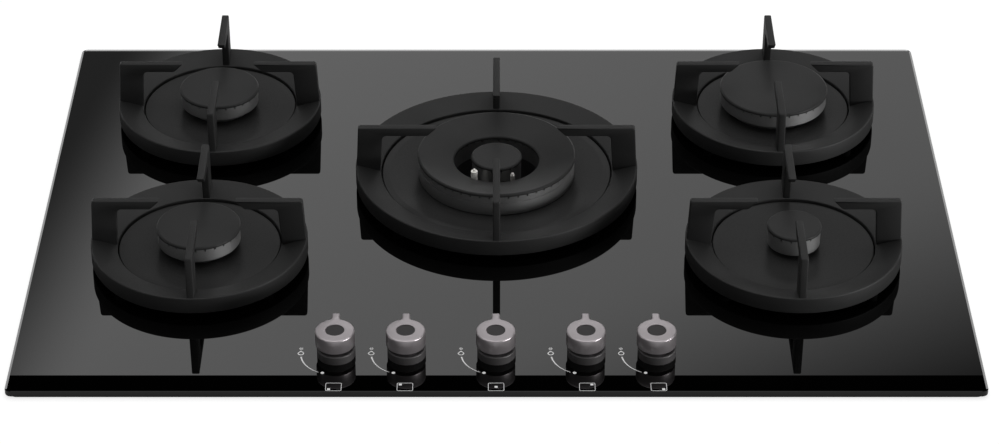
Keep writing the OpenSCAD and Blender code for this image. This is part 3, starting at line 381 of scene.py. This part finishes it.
# Room: "plain" and "above" light the object. The rest is what glossy surfaces mirror, by azimuth
# and elevation in degrees: a wide panel behind the object that ends where z / y passes its edge,
# a bright band along the horizon, a low key at the right, a panel high up behind and one in front
studio = {
    "plain": 0.1, "above": 1.7, "aboveFront": 0.7, "aboveLean": 0.6, "rearFrom": (-0.2, 0.2),
    "panel": 1.58, "sideways": -0.0155, "panelFoot": (20.0, 27.0), "panelEdge": 0.7336,
    "leftFade": (16.4, 20.1), "leftLean": 0.83, "leftEnd": 0.12,
    "rightFade": (88.8, 104.8), "rightLean": 2.5,
    "horizon": 2.3, "frontHorizon": 0.35, "horizonFade": (5.0, 9.0),
    "key": 1.0, "keyFrom": (80.0, 100.0), "keyTo": (135.0, 155.0), "keyFade": (8.0, 14.0),
    "high": 1.15, "highFrom": (40.0, 50.0), "highTo": (78.0, 89.0),
    "front": 2.2, "frontFrom": (46.0, 58.0), "frontTo": (70.0, 82.0), "frontRoom": 0.1,
}

world = bpy.data.worlds.new("studio")
bpy.context.scene.world = world
world.use_nodes = True
sky = world.node_tree
sky.nodes.clear()


def computed(operation, *values):
    node = sky.nodes.new("ShaderNodeMath")
    node.operation = operation
    for socket, value in zip(node.inputs, values):
        if isinstance(value, (int, float)):
            socket.default_value = value
        else:
            sky.links.new(value, socket)
    return node.outputs["Value"]


def product(*levels):
    level = levels[0]
    for more in levels[1:]:
        level = computed("MULTIPLY", level, more)
    return level


def total(*levels):
    level = levels[0]
    for more in levels[1:]:
        level = computed("ADD", level, more)
    return level


def rising(value, span):
    # from 0 to 1 over the span
    ranged = sky.nodes.new("ShaderNodeMapRange")
    ranged.interpolation_type = "SMOOTHSTEP"
    ranged.inputs["From Min"].default_value, ranged.inputs["From Max"].default_value = span
    sky.links.new(value, ranged.inputs["Value"])
    return ranged.outputs["Result"]


def fading(value, span):
    return computed("SUBTRACT", 1.0, rising(value, span))


def leaning(value, slope, start):
    return computed("MULTIPLY_ADD", value, slope, start)


def makeRoom():
    v = studio
    axes = sky.nodes.new("ShaderNodeSeparateXYZ")
    sky.links.new(sky.nodes.new("ShaderNodeTexCoord").outputs["Generated"], axes.inputs["Vector"])
    dirX, dirY, dirZ = axes.outputs
    azimuth = product(computed("ARCTAN2", dirX, dirY), math.degrees(1))
    elevation = product(computed("ARCSINE", dirZ), math.degrees(1))
    rear = rising(dirY, v["rearFrom"])
    ahead = fading(dirY, v["rearFrom"])
    leftSide = rising(leaning(elevation, v["leftLean"], azimuth), v["leftFade"])
    rightSide = fading(leaning(elevation, v["rightLean"], azimuth), v["rightFade"])
    panel = product(leaning(leftSide, 1 - v["leftEnd"], v["leftEnd"]), rightSide,
                    rising(elevation, v["panelFoot"]),
                    computed("LESS_THAN", dirZ, product(dirY, v["panelEdge"])),
                    leaning(azimuth, v["panel"] * v["sideways"], v["panel"]))
    horizon = product(fading(elevation, v["horizonFade"]),
                      total(product(rear, v["horizon"]), product(ahead, v["frontHorizon"])))
    key = product(rising(azimuth, v["keyFrom"]), fading(azimuth, v["keyTo"]),
                  fading(elevation, v["keyFade"]), v["key"])
    high = product(rising(elevation, v["highFrom"]), fading(elevation, v["highTo"]), rear,
                   v["high"])
    front = product(rising(elevation, v["frontFrom"]), fading(elevation, v["frontTo"]), ahead,
                    v["front"])
    above = product(dirZ, dirZ, v["above"], leaning(dirY, v["aboveLean"], v["aboveFront"]))

    output = sky.nodes.new("ShaderNodeOutputWorld")
    rays = sky.nodes.new("ShaderNodeLightPath").outputs
    plain, mirrored, white = (sky.nodes.new("ShaderNodeBackground") for k in range(3))
    sky.links.new(total(above, v["plain"]), plain.inputs["Strength"])
    sky.links.new(total(panel, horizon, key, high, front, product(ahead, v["frontRoom"])),
                  mirrored.inputs["Strength"])
    sky.links.new(mixed(sky, plain, ((rays["Is Glossy Ray"], mirrored),
                                     (rays["Is Transmission Ray"], white),
                                     (rays["Is Camera Ray"], white))), output.inputs["Surface"])


makeRoom()
print("stage and light ready")


# Glass: one sheet whose edges fall away on three sides and stand almost square at the front
sheet = {"corner": 0.0055, "topCorner": 0.003, "cornerSteps": 16, "smoothAngle": 8,
         "side": 0.002, "sideFall": 0.00135, "rear": 0.0042, "rearFall": 0.001,
         "front": 0.0004, "frontFall": 0.0004, "spindleHole": 0.006,
         "holes": {"front_left": 0.0327, "rear_left": 0.0327, "center": 0.0586,
                   "rear_right": 0.0452, "front_right": 0.0207}}


def makeGlass():
    v = sheet
    low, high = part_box("glass_top")
    fallen = high.z - v["sideFall"]
    levels = []
    for z, side, rear, front, corner in (
            (low.z, 0, 0, 0, v["corner"]), (fallen, 0, 0, 0, v["corner"]),
            (high.z, v["side"], v["rear"], v["front"], v["topCorner"])):
        outline = [(x * (high.x - side), high.y - rear if y > 0 else low.y + front)
                   for x, y in cornerSigns]
        levels.append(moved(roundedOutline(outline, [corner] * 4, v["cornerSteps"]), (0, 0, z)))
    bmesh.ops.delete(levels[1], geom=levels[1].faces[:], context="FACES_ONLY")
    bm = gathered(levels)
    rings = [edgesAt(bm, z) for z in (low.z, fallen, high.z)]
    for below, above in zip(rings, rings[1:]):
        bmesh.ops.bridge_loops(bm, edges=below + above)
    for point in {p for e in rings[1] for p in e.verts}:
        # the fall grows less from the sides to the rear and the front, along the corners
        along = min(max((abs(point.co.y) - high.y + v["corner"]) / v["corner"], 0), 1)
        point.co.z += (v["sideFall"] - v["rearFall" if point.co.y > 0 else "frontFall"]) * along
    bmesh.ops.recalc_face_normals(bm, faces=bm.faces)
    plugs = []
    for burner in burners:
        for at, radius in ((supportAt[burner], v["holes"][burner]),
                           (knobAt[burner], v["spindleHole"])):
            plug = roundPlug(radius, low.z - cutPast, high.z + cutPast)
            plugs.append(moved(plug, (at.x, at.y, 0)))
    bm = combined(bm, gathered(plugs), "DIFFERENCE")
    piece = meshObject("glassSheet", bm, finishes["blackGlass"], v["smoothAngle"])
    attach(piece, "hob")
    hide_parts("glass_top")


makeGlass()
print("glass made")


# Pan supports: a cast ring that slopes inwards, and four fingers with soft edges
supports = {
    "band": 0.0214, "top": 0.020, "fall": 0.006, "sheet": 0.004, "wall": 0.009, "foot": 0.0055,
    "outerRound": 0.0015, "innerRound": 0.0008, "lowRound": 0.001, "hollowRound": 0.003,
    "roundSteps": 4,
    "finger": {"thick": 0.006, "top": 0.056, "arm": 0.008, "leg": 0.0202, "lean": 0.0024,
               "inset": 0.0003, "heel": 0.0022, "elbow": 0.0035, "tip": 0.0014, "sink": 0.0025,
               "roundSteps": 5, "soft": 0.0009, "softSteps": 3},
    "stem": {"radius": 0.0022, "depth": 0.0055, "steps": 32},
    "center": {"reach": 0.0495, "steps": 160},
    "side": {"reach": 0.030, "steps": 128},
}


def fingerSolid(radius, reach, v, f):
    out = radius - f["inset"]
    inside = out - f["leg"]
    armLow = f["top"] - f["arm"]
    low = v["foot"] + f["sink"]
    outline = [(out, low), (out - f["lean"], f["top"]), (reach, f["top"]),
               (reach + f["arm"], armLow), (inside - f["lean"], armLow),
               (inside, v["top"] - v["fall"] - f["sink"]), (out - v["wall"] / 2, low)]
    rounds = [0, f["heel"], f["tip"], f["tip"], f["elbow"], 0, 0]
    bm = drawnOut(roundedOutline(outline, rounds, f["roundSteps"]), f["thick"])
    moved(bm, (0, 0, -f["thick"] / 2))
    rim = [e for e in bm.edges if abs(e.verts[0].co.z - e.verts[1].co.z) < closeBy]
    softened(bm, rim, f["soft"], f["softSteps"])
    return rotated(bm, quarterTurn, "X")


def makeSupport(burner):
    v = supports
    size = v["center" if burner == "center" else "side"]
    low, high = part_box("pan_support_" + burner)
    radius = (high.x - low.x) / 2
    inner = radius - v["band"]
    innerTop = v["top"] - v["fall"]
    step = radius - v["wall"]
    stepTop = v["top"] - v["fall"] * v["wall"] / v["band"]
    outline = [(inner, innerTop - v["sheet"]), (step, stepTop - v["sheet"]), (step, v["foot"]),
               (radius, v["foot"]), (radius, v["top"]), (inner, innerTop)]
    rounds = [v["innerRound"], v["hollowRound"], v["lowRound"], v["lowRound"], v["outerRound"],
              v["innerRound"]]
    ring = turned(roundedOutline(outline, rounds, v["roundSteps"]), size["steps"])
    fingers = [rotated(fingerSolid(radius, size["reach"], v, v["finger"]), k * quarterTurn, "Z")
               for k in range(4)]
    bm = combined(ring, gathered(fingers), "UNION")
    sockets = []
    for k in range(4):
        # the feet's stems go in between the fingers
        angle = (k + 0.5) * quarterTurn
        plug = roundPlug(v["stem"]["radius"], v["foot"] - cutPast, v["foot"] + v["stem"]["depth"],
                         v["stem"]["steps"])
        sockets.append(moved(plug, Vector((math.cos(angle), math.sin(angle), 0))
                             * (radius - v["wall"] / 2)))
    bm = combined(bm, gathered(sockets), "DIFFERENCE")
    moved(bm, (supportAt[burner].x, supportAt[burner].y, glassTop))
    piece = meshObject("panSupport_" + burner, bm, finishes["castIron"])
    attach(piece, "pan_support_" + burner)
    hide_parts("pan_support_" + burner)


for burner in burners:
    makeSupport(burner)
print("pan supports made")


# Knobs: round body with a pointer tab, a bore for the spindle and a seat for the disc
knobs = {
    "radius": 0.0152, "top": 0.0227, "bottom": 0.0102, "steps": 144, "flatAngle": 0.5,
    "rim": 0.0013, "rimSteps": 5, "lowRim": 0.0004, "lowRimSteps": 2,
    "tabHalf": 0.0031, "tabReach": 0.023, "tabDeep": 0.0095, "tabCorner": 0.0011,
    "hollow": 0.0026, "tabSteps": 6, "rootHalf": 0.008, "rootSink": 0.0003,
    "shoulderSink": 0.0001, "seatRadius": 0.00745, "seatDeep": 0.0017,
    "hubRadius": 0.008, "hubDeep": 0.005, "boreRadius": 0.00405, "boreTop": 0.0198,
}


def rimOf(bm, height):
    return [e for e in edgesAt(bm, height) if any(abs(f.normal.z) < 0.5 for f in e.link_faces)]


def makeKnob(burner):
    v = knobs
    rootY = math.sqrt(v["radius"] ** 2 - v["tabHalf"] ** 2) - v["rootSink"]
    shoulderY = math.sqrt(v["radius"] ** 2 - v["rootHalf"] ** 2) - v["shoulderSink"]
    hubLow = v["bottom"] - v["hubDeep"]
    outline = [(v["tabHalf"], v["tabReach"]), (-v["tabHalf"], v["tabReach"]),
               (-v["tabHalf"], rootY), (-v["rootHalf"], shoulderY), (-v["rootHalf"], 0),
               (v["rootHalf"], 0), (v["rootHalf"], shoulderY), (v["tabHalf"], rootY)]
    rounds = [v["tabCorner"], v["tabCorner"], v["hollow"], 0, 0, 0, 0, v["hollow"]]
    tab = drawnOut(roundedOutline(outline, rounds, v["tabSteps"]), v["tabDeep"])
    moved(tab, (0, 0, v["top"] - v["tabDeep"]))
    bm = combined(roundPlug(v["radius"], v["bottom"], v["top"], v["steps"]), tab, "UNION")
    bmesh.ops.remove_doubles(bm, verts=bm.verts, dist=closeBy)
    bmesh.ops.dissolve_limit(bm, angle_limit=math.radians(v["flatAngle"]), verts=bm.verts,
                             edges=bm.edges)
    softened(bm, rimOf(bm, v["top"]), v["rim"], v["rimSteps"], clamp=True)
    softened(bm, rimOf(bm, v["bottom"]), v["lowRim"], v["lowRimSteps"])
    for radius, low, high, operation in (
            (v["hubRadius"], hubLow, v["bottom"] + cutPast, "UNION"),
            (v["seatRadius"], v["top"] - v["seatDeep"], v["top"] + cutPast, "DIFFERENCE"),
            (v["boreRadius"], hubLow - cutPast, v["boreTop"], "DIFFERENCE")):
        bm = combined(bm, roundPlug(radius, low, high), operation)
    moved(bm, (knobAt[burner].x, knobAt[burner].y, glassTop))
    piece = meshObject("knobBody_" + burner, bm, finishes["knobBody"])
    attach(piece, "knob_" + burner)
    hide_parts("knob_" + burner)


for burner in burners:
    makeKnob(burner)
print("knobs made")


# Printed marks on the glass: spark, flame and arc beside each knob, the burner plan before it
marks = {
    "ink": 0.00004, "sunk": 0.00002,
    "iconX": -0.0269, "sparkY": 0.007, "sparkSize": 0.0030, "sparkLine": 0.0007,
    "flameY": 0.0009, "flameSize": 0.0025, "flameLine": 0.00085, "flameTip": 0.0009,
    "flameNarrow": 0.55, "flameSteps": 32,
    "arcRadius": 0.0267, "arcFrom": 98, "arcTo": 153, "arcWide": 0.0012, "arcThin": 0.0004,
    "arcSteps": 24, "dotX": -0.009, "dotY": -0.0246, "dotRadius": 0.0014, "dotSteps": 24,
    "planX": 0.0003, "planY": -0.0427, "planWide": 0.0123, "planDeep": 0.0102,
    "planLine": 0.0004, "planCorner": 0.0012, "planSteps": 4,
    "spotSize": 0.0023, "spotX": 0.0036, "spotY": 0.003,
}
spotSide = {"front_left": (-1, -1), "rear_left": (-1, 1), "center": (0, 0),
            "rear_right": (1, 1), "front_right": (1, -1)}


def inked(bm, at):
    # gives a flat mesh the thickness of the print, from just inside the glass
    return moved(drawnOut(bm, marks["ink"] + marks["sunk"]), (*at, -marks["sunk"]))


def flatBar(length, width, angle, at):
    bm = bmesh.new()
    bmesh.ops.create_grid(bm, x_segments=1, y_segments=1, size=0.5)
    bmesh.ops.scale(bm, vec=(length, width, 1), verts=bm.verts)
    return inked(rotated(bm, math.radians(angle), "Z"), at)


def flameMark(v, at):
    # ring whose upper half is drawn up to a tip
    bm = bmesh.new()
    for radius in (v["flameSize"], v["flameSize"] - v["flameLine"]):
        bmesh.ops.create_circle(bm, cap_ends=False, segments=v["flameSteps"], radius=radius)
    bmesh.ops.bridge_loops(bm, edges=bm.edges[:])
    for p in bm.verts:
        lift = max(p.co.y, 0) / v["flameSize"]
        p.co.y += v["flameTip"] * lift ** 3
        p.co.x *= 1 - v["flameNarrow"] * lift ** 2
    return inked(bm, at)


def flatDot(v, at):
    bm = bmesh.new()
    bmesh.ops.create_circle(bm, cap_ends=True, segments=v["dotSteps"], radius=v["dotRadius"])
    return inked(bm, at)


def taperedArc(v):
    # line round the knob that grows thinner towards the low flame
    bm = bmesh.new()
    bm.edges.new([bm.verts.new((0, v["arcRadius"] + side * v["arcWide"] / 2, 0))
                  for side in (-1, 1)])
    sweep = math.radians(v["arcTo"] - v["arcFrom"])
    spun(bm, sweep, v["arcSteps"], False)
    for p in bm.verts:
        share = math.atan2(-p.co.x, p.co.y) / sweep
        width = v["arcWide"] + (v["arcThin"] - v["arcWide"]) * share
        reach = v["arcRadius"] + (p.co.xy.length - v["arcRadius"]) * width / v["arcWide"]
        p.co.xy = p.co.xy.normalized() * reach
    return inked(rotated(bm, math.radians(v["arcFrom"]), "Z"), (0, 0))


def planFrame(v, at):
    outline = [(x * v["planWide"] / 2, y * v["planDeep"] / 2) for x, y in cornerSigns]
    bm = roundedOutline(outline, [v["planCorner"]] * 4, v["planSteps"])
    rim = bmesh.ops.inset_region(bm, faces=bm.faces[:], thickness=v["planLine"],
                                 use_even_offset=True, use_boundary=True)["faces"]
    bmesh.ops.delete(bm, geom=[f for f in bm.faces if f not in rim], context="FACES")
    return inked(bm, at)


def makeMarks(burner):
    v = marks
    sideX, sideY = spotSide[burner]
    spotAt = (v["planX"] + sideX * v["spotX"], v["planY"] + sideY * v["spotY"])
    spark = [flatBar(v["sparkSize"], v["sparkLine"], angle, (v["iconX"], v["sparkY"]))
             for angle in (0, 60, 120)]
    bm = gathered([*spark, flameMark(v, (v["iconX"], v["flameY"])), taperedArc(v),
                   flatDot(v, (v["dotX"], v["dotY"])), planFrame(v, (v["planX"], v["planY"])),
                   flatBar(v["spotSize"], v["spotSize"], 0, spotAt)])
    moved(bm, (knobAt[burner].x, knobAt[burner].y, glassTop))
    piece = meshObject("knobMarks_" + burner, bm, finishes["print"])
    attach(piece, "hob")


for burner in burners:
    makeMarks(burner)
print("marks printed")
